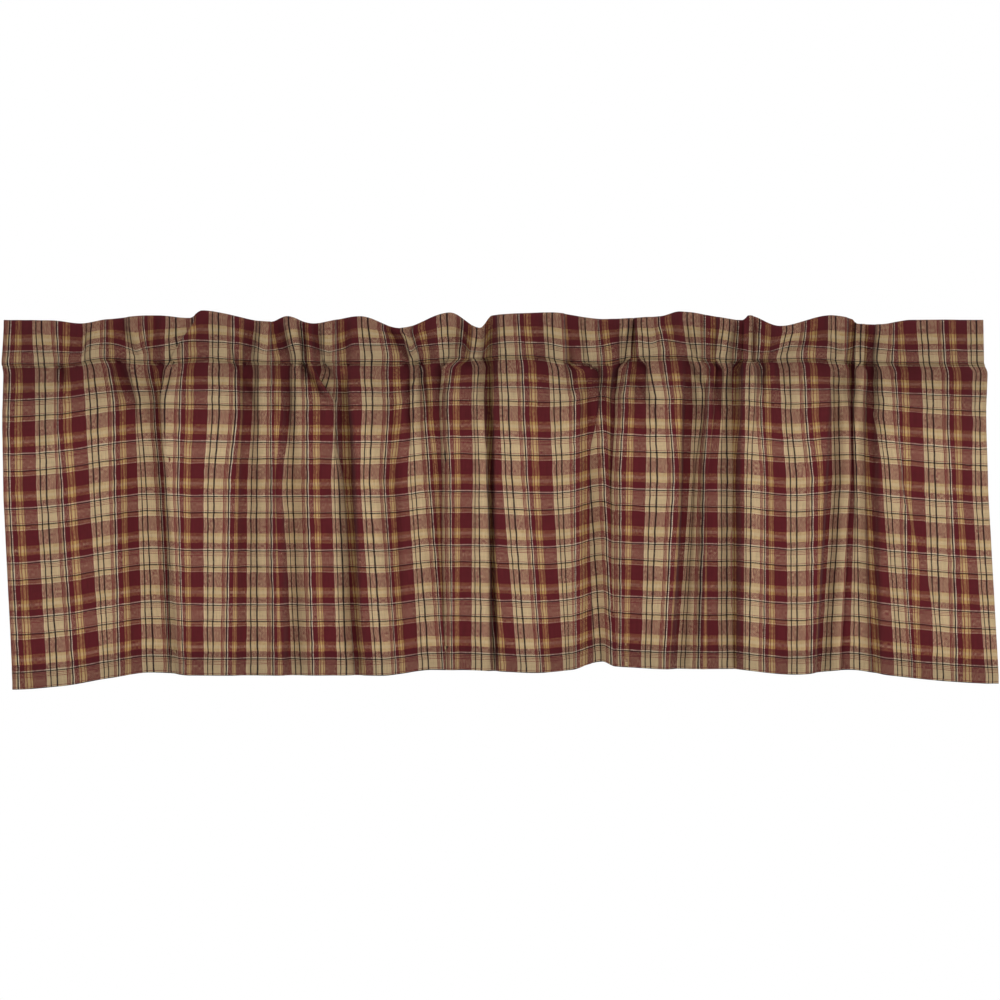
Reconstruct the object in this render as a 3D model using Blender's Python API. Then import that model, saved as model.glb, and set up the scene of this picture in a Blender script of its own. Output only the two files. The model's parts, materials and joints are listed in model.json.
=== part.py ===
"""Gathered rod-pocket valance: one cut of homespun plaid cotton, as one closed solid.

Run with: blender --background --python part.py

Metres. +X runs along the valance to the viewer's right, -Y faces the viewer and +Z is up. The
origin is the middle of the top edge, at its average height.

The cloth has two coordinates. A station counts the plaid's repeats along its width, and v is the
height below the top edge on the hanging face. Across each fold the cloth's heading, the angle that
it makes with the X axis in plan, swings out from zero and back, so it bends but never stretches.
"""

import bpy
import numpy as np

# What the cloth was cut and sewn to
FLAT_WIDTH = 1.524  # 60 in, side hem to side hem
DROP = 0.4064  # 16 in, top edge to bottom edge
POCKET = 0.050  # top edge down to the line of stitching that closes the rod pocket
HEM = 0.0254
THICK = 0.0013
HEM_THICK = 0.0022  # the hem is turned up twice

# The plaid's repeat is the ruler that the folds are placed by
REPEAT = 0.0587
FIRST_PAIR = 0.045  # left edge to the first pair of black lines, which is station 1
LEFT = 1 - FIRST_PAIR / REPEAT
RIGHT = LEFT + FLAT_WIDTH / REPEAT

POCKET_HALF_DEPTH = 0.011  # half the depth of the open pocket, front to back
POCKET_FULLNESS = 0.6  # 1 makes its section an ellipse, and less a flatter front and back
POCKET_RELIEF = 0.004  # how far the folds may move the pocket's wall
BODY_RELIEF = 0.014  # the same for the cloth below it
BALLOON = 0.004  # how far the cloth stands forward below the stitching
BALLOON_DROP = 0.12  # the height over which it does
DRAWN_UP_DROP = 0.075  # the height below the stitching over which the puckers take up cloth
MID_DROP, LOW_DROP = 0.20, 0.395  # where the two x columns of BODY_FOLDS are read

# One row a fold of the pocket: its crest and the trough to its right, as station and x in mm
POCKET_FOLDS = (
    # crest, x, trough, x
    (1.20, -485, 1.75, -457),
    (2.20, -433, 2.65, -411),
    (3.25, -382, 3.75, -361),
    (3.98, -351, 4.35, -331),
    (4.60, -334, 5.10, -299),
    (5.45, -281, 5.80, -267),
    (6.15, -251, 6.70, -240),
    (7.20, -216, 7.70, -199),
    (8.15, -181, 8.60, -161),
    (9.25, -125, 9.80, -104),
    (10.20, -92, 10.60, -74),
    (11.10, -48, 11.75, -25),
    (12.15, -14, 12.70, -2),
    (13.20, 23, 13.70, 49),
    (14.20, 77, 14.75, 96),
    (15.20, 112, 15.60, 129),
    (16.08, 152, 16.50, 156),
    (16.92, 162, 17.40, 188),
    (17.90, 213, 18.45, 240),
    (18.95, 252, 19.40, 272),
    (19.80, 282, 20.40, 293),
    (21.00, 326, 21.50, 353),
    (22.15, 382, 22.60, 400),
    (23.05, 404, 23.60, 411),
    (24.15, 428, 24.70, 456),
    (25.30, 493, RIGHT, 539),
)
POCKET_LEFT = -537

# One row a fold below the pocket: its crest and the trough to its right, with x in mm half way
# down and at the bottom. Where a trough's x is past the next crest's, the folds overlap.
BODY_FOLDS = (
    # crest, x, x low, trough, x, x low
    (1.40, -469, -457, 1.85, -443, -432),
    (2.40, -412, -407, 2.85, -391, -386),
    (3.20, -374, -364, 3.70, -349, -343),
    (4.10, -358, -351, 4.80, -320, -320),
    (5.35, -288, -291, 5.85, -270, -271),
    (6.30, -245, -243, 6.88, -230, -220),
    (7.40, -200, -194, 7.80, -180, -174),
    (8.12, -165, -157, 8.45, -164, -148),
    (9.10, -132, -119, 9.75, -99, -88),
    (10.25, -75, -60, 10.90, -46, -44),
    (11.22, -53, -51, 11.75, -27, -29),
    (12.18, -8, -5, 12.55, -6, 11),
    (13.15, 27, 42, 13.75, 60, 71),
    (14.60, 104, 104, 15.00, 104, 116),
    (15.35, 123, 131, 15.80, 136, 145),
    (16.25, 135, 135, 16.80, 165, 160),
    (17.35, 199, 189, 17.85, 217, 203),
    (18.30, 230, 224, 18.75, 241, 243),
    (19.12, 262, 262, 19.50, 262, 263),
    (20.15, 289, 287, 20.75, 316, 318),
    (21.35, 351, 350, 21.85, 374, 362),
    (22.15, 388, 377, 22.75, 394, 387),
    (23.15, 405, 409, 23.60, 416, 426),
    (24.20, 444, 449, 24.55, 456, 467),
    (25.20, 494, 503, RIGHT, 544, 556),
)
BODY_LEFT = (-538, -528)

# Height of the top edge, of the stitching and of the bottom edge, as x and z in mm
TOP_EDGE = (
    (-540, 0), (-480, -1), (-452, -4), (-420, 1), (-370, 5), (-332, 2), (-318, 10), (-244, -2),
    (-225, 4), (-198, -4), (-145, 4), (-101, -9), (-46, 8), (-13, -9), (0, 5), (64, 8), (120, 1),
    (185, 4), (206, 9), (272, 1), (283, 5), (316, -7), (371, 5), (404, -5), (426, -5), (460, 0),
    (540, 0),
)
STITCHING = (
    (-540, -51), (-475, -51), (-420, -45), (-370, -48), (-320, -45), (-260, -48), (-100, -49),
    (-60, -46), (40, -42), (85, -48), (125, -49), (150, -44), (205, -43), (250, -46), (340, -45),
    (412, -49), (540, -50),
)
BOTTOM_EDGE = (
    (-530, -406), (-475, -402), (-420, -393), (-375, -387), (-350, -388), (-330, -390),
    (-120, -390), (-65, -384), (-35, -384), (50, -387), (85, -384), (118, -375), (136, -380),
    (200, -383), (260, -383), (330, -389), (393, -384), (437, -390), (525, -398), (550, -399),
)

COLUMN_STEP = 0.0145  # spacing of the mesh's columns along the cloth
# Rows of the mesh below the stitching, as v, and then round the pocket from the stitching, as
# degrees: 180 is the stitching, 90 the front, 0 the top edge and below 0 the back
TAIL_ROWS = (DROP, DROP - HEM, DROP - HEM - 0.003, 0.31, 0.24, 0.17, 0.12, 0.085, 0.056)
POCKET_ANGLES = (180, 170, 148, 110, 70, 32, 0, -32, -70, -110, -148, -170)
FINE_STEPS = 1524  # steps in which a heading is added up along the cloth
CREASE = 0.34  # share of each flank over which a fold turns
DRIFT_SPAN = 3.2  # repeats over which the folds' mean depth is held level

CLOTH_COLOUR = (0.26, 0.10, 0.085, 1.0)  # the plaid's average, linear
CLOTH_ROUGHNESS = 0.9


def smoothstep(t):
    """0 below 0, 1 above 1 and the cubic 3t2 - 2t3 between them."""
    t = np.clip(t, 0.0, 1.0)
    return t * t * (3 - 2 * t)


def flank_bend(t):
    """Share of a flank's steepest heading at t, from 0 on the crest to 0 in the trough."""
    return smoothstep(np.minimum(t, 1 - t) / CREASE)


def steepest_heading(ratio):
    """The heading that makes a flank run ratio times its own length along X."""
    t = np.linspace(0, 1, 201)
    headings = np.linspace(0, 3.1, 63)
    runs = np.cos(headings[:, None] * flank_bend(t)).mean(axis=1)
    return np.interp(ratio, runs[::-1], headings[::-1])


def laid_out(stations, turn_stations, turn_x):
    """x and y of the cloth at these stations, a row for each row of turn_x.

    turn_stations are the crests and troughs from left to right, starting with a trough, and
    turn_x is where each of them comes, in metres.
    """
    fine = np.linspace(LEFT, RIGHT, FINE_STEPS + 1)
    middle = (fine[:-1] + fine[1:]) / 2
    flank = np.clip(np.searchsorted(turn_stations, middle) - 1, 0, len(turn_stations) - 2)
    spans = np.diff(turn_stations)
    t = (middle - turn_stations[flank]) / spans[flank]
    peaks = steepest_heading(np.diff(turn_x, axis=1) / (spans * REPEAT))
    towards = np.where(flank % 2 == 0, -1.0, 1.0)  # out of a trough is towards the viewer, -Y
    heading = towards * peaks[:, flank] * flank_bend(t)
    start = np.zeros((len(turn_x), 1))
    step = FLAT_WIDTH / FINE_STEPS
    x = np.hstack((start, np.cumsum(np.cos(heading), axis=1))) * step
    y = np.hstack((start, np.cumsum(np.sin(heading), axis=1))) * step
    at_turns = np.searchsorted(fine, turn_stations).clip(0, FINE_STEPS)
    wanted = np.searchsorted(fine, stations).clip(0, FINE_STEPS)
    window = np.hanning(int(DRIFT_SPAN / (fine[1] - fine[0])) | 1)
    window /= window.sum()
    half = len(window) // 2
    for row in range(len(turn_x)):
        x[row] += np.interp(fine, turn_stations, turn_x[row] - x[row, at_turns])
        y[row] -= np.convolve(np.pad(y[row], half, mode="edge"), window, mode="valid")
    return x[:, wanted], y[:, wanted]


def turns(folds, left, *columns):
    """Stations of the folds' crests and troughs with the left edge, and x at each, in metres."""
    half = len(folds[0]) // 2
    stations = np.array([LEFT] + [fold[i] for fold in folds for i in (0, half)])
    x = [
        [edge] + [fold[i] for fold in folds for i in (column, half + column)]
        for edge, column in zip(left, columns)
    ]
    return stations, np.array(x) / 1000


def soft_limit(y, limit):
    """y, pressed smoothly so that it never passes the limit."""
    return limit * np.tanh(y / limit)


def height_of(line, x):
    """z at x of one of the lines given above, in metres."""
    return np.interp(x * 1000, *np.transpose(line)) / 1000


def hanging_face(stations, v):
    """x, y and z of the hanging face, one row for each v and one column for each station."""
    v = np.asarray(v)[:, None]
    pocket_turns, pocket_turn_x = turns(POCKET_FOLDS, (POCKET_LEFT,), 1)
    pocket_x, pocket_y = laid_out(stations, pocket_turns, pocket_turn_x)
    body_turns, (x_mid, x_low) = turns(BODY_FOLDS, BODY_LEFT, 1, 2)
    lean = (v - MID_DROP) / (LOW_DROP - MID_DROP)
    body_x, body_y = laid_out(stations, body_turns, x_mid + (x_low - x_mid) * lean)
    below = smoothstep((v - 0.8 * POCKET) / (1.6 * POCKET))
    x = pocket_x + (body_x - pocket_x) * below
    relief = soft_limit(pocket_y, POCKET_RELIEF)
    y = relief + (soft_limit(body_y, BODY_RELIEF) - relief) * below
    y = y - BALLOON * np.sin(np.pi * np.clip((v - POCKET) / BALLOON_DROP, 0, 1)) ** 2
    top, stitching = height_of(TOP_EDGE, pocket_x), height_of(STITCHING, pocket_x)
    drawn_up = height_of(BOTTOM_EDGE, x[np.argmax(v)]) - stitching + DROP - POCKET
    below_seam = np.maximum(v - POCKET, 0)
    z = top + (stitching - top) * np.minimum(v / POCKET, 1) - below_seam
    z = z + drawn_up * smoothstep(below_seam / DRAWN_UP_DROP)
    return np.stack((x, y, z), axis=2)


def columns():
    """Stations of the mesh's columns: each crest and trough of the body, and steps between."""
    body_turns = turns(BODY_FOLDS, BODY_LEFT, 1)[0]
    spans = zip(body_turns, body_turns[1:])
    steps = [np.linspace(a, b, max(2, round((b - a) * REPEAT / COLUMN_STEP)) + 1) for a, b in spans]
    return np.concatenate([steps[0]] + [step[1:] for step in steps[1:]])


def middle_surface(stations):
    """The cloth's middle, from the bottom edge up the front, over the top and down the back."""
    angle = np.radians(POCKET_ANGLES)
    pocket_v = POCKET * (1 - np.cos(angle)) / 2
    rows = hanging_face(stations, np.concatenate((TAIL_ROWS, pocket_v)))
    forward = np.sign(angle) * np.abs(np.sin(angle)) ** POCKET_FULLNESS
    rows[len(TAIL_ROWS):, :, 1] -= POCKET_HALF_DEPTH * forward[:, None]
    return rows


def both_faces(rows, thickness):
    """A sheet's two faces about its middle: the one that is outside, and the one inside."""
    normal = np.cross(np.gradient(rows, axis=1), np.gradient(rows, axis=0))
    normal *= np.reshape(thickness, (-1, 1, 1)) / 2 / np.linalg.norm(normal, axis=2, keepdims=True)
    return rows + normal, rows - normal


def closed_solid(rows):
    """Vertices and faces of the solid: a ring of rows outside, and a ring inside the pocket."""
    thickness = [HEM_THICK if v > DROP - HEM - 0.001 else THICK for v in TAIL_ROWS]
    thickness += [THICK] * len(POCKET_ANGLES)
    outside, inside = both_faces(rows, thickness)
    seam, last, count = len(TAIL_ROWS), len(rows) - 1, rows.shape[1]
    # The pocket's inside starts at the stitching, in the middle of the cloth
    pocket = np.concatenate((rows[seam:seam + 1], inside[seam + 1:]))
    back = inside[:seam][::-1]
    points = np.concatenate((outside, back, pocket)).reshape(-1, 3)
    outer_ring = np.arange(len(outside) + len(back))
    pocket_ring = len(outer_ring) + np.arange(len(pocket))
    faces = []
    for ring, columns_on in ((outer_ring, 1), (pocket_ring, -1)):
        for row, above in zip(ring, np.roll(ring, -1)):
            for column in range(count - 1):
                face = [(row, column), (row, column + 1), (above, column + 1), (above, column)]
                faces.append([r * count + c for r, c in face[::columns_on]])
    # Each end is closed between the two rings: the tail, the join at the stitching and the pocket
    back_of = {row: last + seam - row for row in range(seam)}
    pocket_of = {row: len(outer_ring) + row - seam for row in range(seam, last + 1)}
    ends = [[row, row + 1, back_of[row + 1], back_of[row]] for row in range(seam - 1)]
    ends.append([seam - 1, seam, pocket_of[seam], pocket_of[last], last, back_of[seam - 1]])
    ends += [[row, row + 1, pocket_of[row + 1], pocket_of[row]] for row in range(seam, last)]
    for end in ends:
        faces.append([row * count for row in end])
        faces.append([row * count + count - 1 for row in reversed(end)])
    return points, faces


def cloth_material():
    """Plain-woven cotton in the plaid's average colour."""
    material = bpy.data.materials.new("plaid_cotton")
    material.use_nodes = True
    shader = material.node_tree.nodes["Principled BSDF"]
    shader.inputs["Base Color"].default_value = CLOTH_COLOUR
    shader.inputs["Roughness"].default_value = CLOTH_ROUGHNESS
    shader.inputs["Metallic"].default_value = 0.0
    return material


def build():
    for obj in list(bpy.data.objects):
        bpy.data.objects.remove(obj)
    points, faces = closed_solid(middle_surface(columns()))
    mesh = bpy.data.meshes.new("valance_cloth")
    mesh.from_pydata(points.tolist(), [], faces)
    mesh.materials.append(cloth_material())
    mesh.shade_smooth()
    collection = bpy.data.collections.new("rod_pocket_valance")
    bpy.context.scene.collection.children.link(collection)
    collection.objects.link(bpy.data.objects.new("valance_cloth", mesh))
    size = points.max(axis=0) - points.min(axis=0)
    print("valance_cloth:", len(faces), "faces,", " x ".join(f"{side * 1000:.0f}" for side in size), "mm")


build()
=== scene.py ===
# %% [markdown]
# # A gathered rod-pocket valance in homespun plaid
#
# The real object is one cut of cotton plaid, taken to be 1.524 m wide. Its top is turned to the
# back and stitched down as a pocket for a rod, its bottom and sides are hemmed, and it is pushed
# together to about 70% of its width, so it hangs in soft folds.
#
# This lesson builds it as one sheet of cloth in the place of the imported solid, with finer folds,
# weaves the plaid in a material from two charts, one for each set of yarns, and lights it softly
# on white.

# %% The frame
import json

import bpy
import numpy as np
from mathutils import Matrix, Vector

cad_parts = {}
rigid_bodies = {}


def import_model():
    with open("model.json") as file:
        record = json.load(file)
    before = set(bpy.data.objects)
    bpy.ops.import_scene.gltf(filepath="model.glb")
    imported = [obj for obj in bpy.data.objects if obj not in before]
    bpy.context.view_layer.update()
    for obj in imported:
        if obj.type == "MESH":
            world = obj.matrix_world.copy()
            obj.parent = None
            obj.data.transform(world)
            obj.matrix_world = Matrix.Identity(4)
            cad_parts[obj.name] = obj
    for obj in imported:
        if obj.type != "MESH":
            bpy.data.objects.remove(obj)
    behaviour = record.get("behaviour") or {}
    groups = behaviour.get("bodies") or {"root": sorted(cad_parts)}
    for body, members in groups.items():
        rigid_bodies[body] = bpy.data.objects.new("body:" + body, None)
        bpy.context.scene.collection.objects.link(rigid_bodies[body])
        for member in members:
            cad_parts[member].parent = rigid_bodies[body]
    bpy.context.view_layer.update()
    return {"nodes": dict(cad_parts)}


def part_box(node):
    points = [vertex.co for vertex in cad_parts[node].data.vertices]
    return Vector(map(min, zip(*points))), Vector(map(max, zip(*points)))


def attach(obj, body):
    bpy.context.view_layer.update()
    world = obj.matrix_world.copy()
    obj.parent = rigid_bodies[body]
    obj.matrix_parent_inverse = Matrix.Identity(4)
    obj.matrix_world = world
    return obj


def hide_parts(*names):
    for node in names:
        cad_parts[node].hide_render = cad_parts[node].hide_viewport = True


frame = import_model()
CLOTH_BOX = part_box("valance_cloth")
print("packed nodes:", *frame["nodes"])
print("cloth solid, mm:", [[round(1000 * c) for c in corner] for corner in CLOTH_BOX])

# %% [markdown]
# ## What the cloth was cut and sewn to
#
# A maker starts from the flat cut. Here every size of the sewing is in metres, and places across
# the cloth are counted in repeats of the plaid, called stations. Counting in repeats makes it easy
# to say where a fold falls: the wide burgundy stripe of the tenth repeat is at 10.6 to 10.9.

# %% The cut and its seams
FLAT_WIDTH = 1.524  # side hem to side hem
DROP = 0.4119  # top edge to bottom edge, as cloth
POCKET = 0.0555  # top edge down to the stitching, as cloth that goes round the rod
HEM = 0.0254
SIDE_HEM = 0.009
POCKET_EDGE = 0.0024  # what stands below the stitching on the back
THICK = 0.0007
PLY_GAP = 0.0013  # between the middles of two layers that are sewn together

REPEAT = 0.0587  # of the plaid, across the cloth
REPEAT_DOWN = 0.0601
FIRST_WHITE_LINE = 0.0315  # the first white line across, below the top edge
FIRST_BLACK_LINE = FIRST_WHITE_LINE + 0.0015  # near the middle of the black line just below it
FIRST_PAIR = 0.045  # station 1, the middle of the first pair of black lines, from the left edge
LEFT = 1 - FIRST_PAIR / REPEAT
RIGHT = LEFT + FLAT_WIDTH / REPEAT

# %% [markdown]
# ## Where the folds fall
#
# A hanging fold has a crest towards the room and a trough behind it. Each row of these tables is
# one fold: the crest and the trough to its right, as a station and the x where it hangs, in mm, at
# two heights. A fold that wanders across the yarns has two numbers more: the stations that its
# crest and trough have reached at the lower height. Where a trough's x is past the next crest's,
# the cloth doubles back and one fold laps over the other.
#
# The folds change below the stitching, so there are three tables: the pocket, the neck just
# below the seam, where there are most folds, and the body.

# %% Folds of the pocket, at 8 and 44 mm below the top edge
POCKET_FOLDS = (
    # crest, x top, x seam, trough, x top, x seam
    (1.20, -486, -483, 1.70, -458, -460),
    (2.20, -432, -433, 2.68, -412, -411),
    (3.20, -391, -385, 3.72, -366, -367),
    (3.98, -352, -356, 4.38, -327, -347, 3.92, 4.02),
    (4.64, -323, -350, 5.10, -298, -331, 4.16, 4.50),
    (5.40, -281, -281, 5.82, -264, -267),
    (6.15, -250, -252, 6.68, -236, -229),
    (7.12, -220, -213, 7.38, -208, -206),
    (7.60, -202, -200, 7.82, -193, -191),
    (8.15, -180, -180, 8.62, -162, -160),
    (9.22, -127, -122, 9.70, -106, -97),
    (10.12, -95, -85, 10.42, -84, -78),
    (10.95, -56, -53, 11.38, -31, -34),
    (12.15, -12, -15, 12.52, -4, -5),
    (13.10, 15, 17, 13.62, 43, 46),
    (14.15, 71, 73, 14.72, 88, 91),
    (15.15, 107, 110, 15.62, 128, 132),
    (16.08, 151, 148, 16.45, 155, 154),
    (16.90, 161, 163, 17.40, 186, 191),
    (17.95, 214, 219, 18.45, 239, 239),
    (18.98, 256, 252, 19.42, 274, 272),
    (19.85, 281, 280, 20.30, 291, 289),
    (21.00, 326, 320, 21.60, 357, 354),
    (22.15, 382, 382, 22.62, 399, 396),
    (23.02, 403, 402, 23.60, 413, 411),
    (24.15, 430, 427, 24.70, 456, 459),
    (25.30, 491, 493, RIGHT, 539.6, 540.2),
)
POCKET_LEFT = (-536.5, -538.5)
print("folds in the pocket:", len(POCKET_FOLDS))

# %% Folds of the neck, at 62 and 105 mm
NECK_FOLDS = (
    # crest, x, x lower, trough, x, x lower
    (1.15, -485, -485, 1.43, -472, -473),
    (1.65, -461, -459, 1.95, -444, -441),
    (2.30, -424, -419, 2.70, -409, -399),
    (3.10, -390, -385, 3.70, -361, -356),
    (3.98, -357, -363, 4.60, -328, -328),
    (5.30, -285, -284, 5.80, -266, -267),
    (6.15, -252, -252, 6.65, -230, -230),
    (7.12, -213, -213, 7.30, -207, -206),
    (7.55, -199, -176, 7.80, -191, -180, 7.84, 8.20),
    (8.60, -159, -158, 8.90, -143, -141),
    (9.20, -124, -123, 9.72, -95, -93),
    (10.10, -84, -85, 10.35, -78, -75),
    (10.60, -68, -66, 10.92, -53, -50),
    (11.22, -52, -56, 11.75, -27, -28),
    (12.15, -10, -12, 12.45, -6, -6),
    (13.05, 15, 17, 13.62, 49, 50),
    (14.05, 72, 74, 14.38, 87, 92),
    (14.82, 115, 116, 15.12, 112, 107),
    (15.45, 126, 125, 15.85, 141, 137),
    (16.25, 143, 139, 16.72, 165, 162),
    (17.10, 175, 181, 17.65, 207, 210),
    (18.05, 228, 231, 18.25, 237, 235),
    (18.42, 242, 240, 18.72, 248, 246),
    (19.08, 259, 259, 19.50, 268, 268),
    (19.95, 283, 282, 20.32, 295, 293),
    (20.62, 306, 306, 20.88, 316, 318),
    (21.20, 334, 335, 21.75, 365, 366),
    (22.20, 388, 389, 22.65, 397, 397),
    (23.15, 403, 402, 23.85, 419, 420),
    (24.12, 430, 432, 24.60, 457, 457),
    (25.00, 479, 480, 25.30, 497, 497),
    (25.60, 514, 514, RIGHT, 544.7, 543),
)
NECK_LEFT = (-537, -539)
print("folds in the neck:", len(NECK_FOLDS))

# %% Folds of the body, at 200 and 395 mm
BODY_FOLDS = (
    # crest, x, x low, trough, x, x low
    (1.40, -469, -457, 1.85, -443, -432),
    (2.40, -412, -407, 2.85, -391, -386),
    (3.20, -374, -364, 3.70, -349, -343),
    (4.10, -358, -351, 4.80, -320, -320),
    (5.35, -288, -291, 5.85, -270, -271),
    (6.30, -245, -243, 6.88, -230, -220),
    (7.40, -200, -194, 7.80, -180, -174),
    (8.12, -165, -157, 8.45, -164, -148),
    (9.10, -132, -119, 9.75, -99, -88),
    (10.25, -75, -60, 10.90, -46, -44),
    (11.22, -53, -51, 11.75, -27, -29),
    (12.18, -8, -5, 12.55, -6, 11),
    (13.15, 27, 42, 13.75, 60, 71),
    (14.60, 104, 104, 15.00, 104, 116),
    (15.35, 123, 131, 15.80, 136, 145),
    (16.25, 135, 135, 16.80, 165, 160),
    (17.35, 199, 189, 17.85, 217, 203),
    (18.30, 230, 224, 18.75, 241, 243),
    (19.12, 262, 262, 19.50, 262, 263),
    (20.15, 289, 287, 20.75, 316, 318),
    (21.35, 351, 350, 21.85, 374, 362),
    (22.15, 388, 377, 22.75, 394, 387),
    (23.15, 405, 409, 23.60, 416, 426),
    (24.20, 444, 491, 24.55, 456, 506, 25.00, 25.30),
    (25.20, 494, 535, RIGHT, 545, 556, 25.75, RIGHT),
)
BODY_LEFT = (-538, -528)
print("folds in the body:", len(BODY_FOLDS))

# %% [markdown]
# Several small folds often stand forward or back together, as one broad panel with a crisp edge
# where it laps over a recess. This table says where: x at two heights, and how far back the cloth
# is pushed there, in mm. A soft limit, further down, then holds all depths together.

# %% Panels and recesses, at 160 and 395 mm
PANELS = (
    # x, x low, depth
    (-545, -535, 24), (-505, -495, 9), (-462, -450, -8), (-420, -408, 10), (-392, -378, 20),
    (-365, -350, 24), (-358, -340, -15), (-330, -326, -15), (-285, -285, -10), (-268, -268, 4),
    (-250, -246, -2), (-233, -231, -15), (-224, -222, 10), (-200, -198, -2), (-176, -168, -5),
    (-158, -149, 23), (-150, -140, -16), (-136, -126, -11), (-114, -108, 4), (-98, -92, -8),
    (-82, -77, 4), (-66, -64, 13), (-57, -60, 14), (-46, -43, -9), (-8, -4, -10), (-2, 2, 19),
    (3, 8, -17), (40, 45, -11), (86, 90, -14), (96, 98, -10), (102, 104, 21), (122, 124, 15),
    (150, 148, -2), (185, 176, -8), (205, 198, -15), (212, 205, 21), (229, 223, 15),
    (237, 234, -10), (245, 242, -6), (267, 266, 22), (274, 273, -14), (330, 330, -10),
    (366, 352, -15), (373, 360, 19), (392, 381, 9), (398, 389, 6), (419, 421, 23), (425, 428, -14),
    (480, 484, -10), (545, 560, -2),
)
print("panels and recesses:", len(PANELS), "places")

# %% [markdown]
# Between the long folds, the gathers make short hollows and swells, and most of them lean: the
# cloth is pushed sideways as well as together. The lean says how far one moves to the right for
# each millimetre that it rises.

# %% Hollows and swells of the gathers
DENTS = (
    # x, z, depth, half width, half height in mm, lean; a swell has a depth below zero
    # in the pocket
    (-447, -28, 6, 4, 18, 0.06), (-399, -23, 9, 5, 24, -0.41), (-379, -33, 8, 4, 12, -0.20),
    (-340, -20, -5, 12, 14, 0), (-284, -42, 8, 4, 14, -0.35), (-265, -28, 8, 4, 22, 0.22),
    (-233, -20, 9, 4, 22, -0.27), (-220, -22, -5, 6, 20, -0.27), (-207, -28, 10, 4, 20, -0.05),
    (-192, -25, 6, 4, 18, 0), (-180, -42, 8, 4, 10, 0), (-140, -22, -4, 14, 16, 0),
    (-103, -26, 12, 5, 24, -0.77), (-87, -28, 9, 3.5, 24, -0.20), (-55, -20, -5, 14, 16, 0),
    (-32, -20, 10, 4, 26, 0), (-20, -22, -4, 6, 20, 0.10), (-7, -28, 14, 5, 28, 0.05),
    (60, -22, -4, 30, 18, 0), (84, -44, 6, 4, 12, 0), (138, -26, 3, 3.5, 22, 0.10),
    (150, -24, 14, 5, 26, 0.26), (170, -22, -5, 10, 18, 0), (219, -30, 9, 4, 18, -0.35),
    (247, -26, 6, 4, 20, 0.14), (267, -26, 10, 5, 24, 0.20), (283, -24, 14, 6, 28, 0.05),
    (338, -30, 8, 8, 12, 2.3), (345, -42, -5, 16, 10, 0), (380, -34, 6, 4, 10, 0.5),
    (402, -22, 14, 7, 26, 0.05), (417, -36, 9, 5, 18, 0.44), (450, -20, -5, 25, 20, 0),
    # in the neck
    (-483, -80, 3, 5, 12, 0), (-473, -56, 7, 5, 12, 0), (-404, -74, 12, 5, 26, -0.36),
    (-391, -78, -5, 8, 20, -0.30), (-360, -76, 12, 6, 28, 0.40), (-272, -74, 11, 4, 24, -0.43),
    (-238, -97, 8, 6, 9, 0), (-196, -68, 14, 5, 26, -0.69), (-91, -76, 7, 5, 16, 0.40),
    (-78, -74, 11, 4.5, 26, -0.25), (-50, -72, 9, 4, 22, 0.40), (-34, -76, -6, 14, 24, 0),
    (-10, -74, 14, 4.5, 32, 0), (86, -72, 7, 3.5, 26, -0.07), (102, -80, -6, 12, 26, 0),
    (118, -78, 14, 5, 30, -0.10), (138, -72, 12, 5, 28, 0.27), (151, -84, -5, 7, 20, 0),
    (164, -80, 9, 4.5, 26, -0.53), (224, -62, 9, 5, 18, -0.55), (229, -80, -5, 5, 18, 0),
    (243, -74, 14, 5, 28, -0.15), (266, -66, 9, 6, 20, 0.20), (287, -75, -6, 7, 30, 0),
    (297, -62, 9, 5, 16, 0), (306, -88, 8, 4, 22, 0), (366, -80, -4, 14, 30, 0),
    (392, -80, 14, 6, 32, -0.15), (408, -72, -5, 6, 20, 0), (419, -76, 8, 4, 28, -0.15),
)
print("hollows and swells:", len(DENTS))

# %% [markdown]
# ## Four lines across the cloth
#
# Gathering pulls the cloth up as well as in, so the top edge, the seam and the bottom edge aren't
# straight, and the plaid's first black line wavers where the pocket puckers. Each is a table of x
# and z in mm, and a height anywhere is read between its points.

# %% Top edge, seam, bottom edge and the first black line
TOP_EDGE = (
    (-540, 0), (-480, -1), (-452, -4), (-420, 1), (-370, 5), (-332, 2), (-318, 10), (-244, -2),
    (-225, 4), (-198, -4), (-145, 4), (-101, -9), (-46, 8), (-13, -9), (0, 5), (64, 8), (120, 1),
    (185, 4), (206, 9), (276, 0), (282, 5), (316, -7), (371, 5), (396, 1), (401, -4), (426, -5),
    (460, 0), (540, 0),
)
STITCHING = (
    (-540, -51), (-475, -51), (-420, -45), (-370, -48), (-320, -45), (-260, -48), (-100, -49),
    (-60, -46), (40, -42), (85, -48), (125, -49), (150, -44), (205, -43), (250, -46), (340, -45),
    (412, -49), (540, -50),
)
BOTTOM_EDGE = (
    (-530, -406), (-475, -402), (-420, -393), (-375, -387), (-350, -388), (-330, -390),
    (-120, -390), (-65, -384), (-35, -384), (50, -387), (85, -384), (122, -375), (135, -380),
    (200, -383), (260, -383), (330, -389), (393, -384), (437, -390), (525, -398), (550, -399),
)
BLACK_LINE = (
    (-540, -35), (-481, -35), (-468, -36), (-450, -36), (-444, -29), (-422, -26), (-400, -31),
    (-390, -34), (-381, -31), (-357, -28), (-328, -23), (-309, -24), (-280, -26), (-262, -29),
    (-247, -34), (-232, -32), (-214, -27), (-188, -33), (-178, -35), (-165, -32), (-149, -27),
    (-97, -27), (-90, -35), (-81, -29), (-57, -27), (-33, -26), (-22, -35), (-11, -35), (-1, -27),
    (20, -25), (56, -26), (82, -30), (109, -30), (142, -25), (159, -24), (173, -26), (187, -22),
    (213, -26), (239, -27), (266, -31), (288, -35), (305, -35), (315, -32), (328, -29), (363, -30),
    (385, -33), (403, -29), (418, -31), (449, -34), (539, -34),
)


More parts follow.
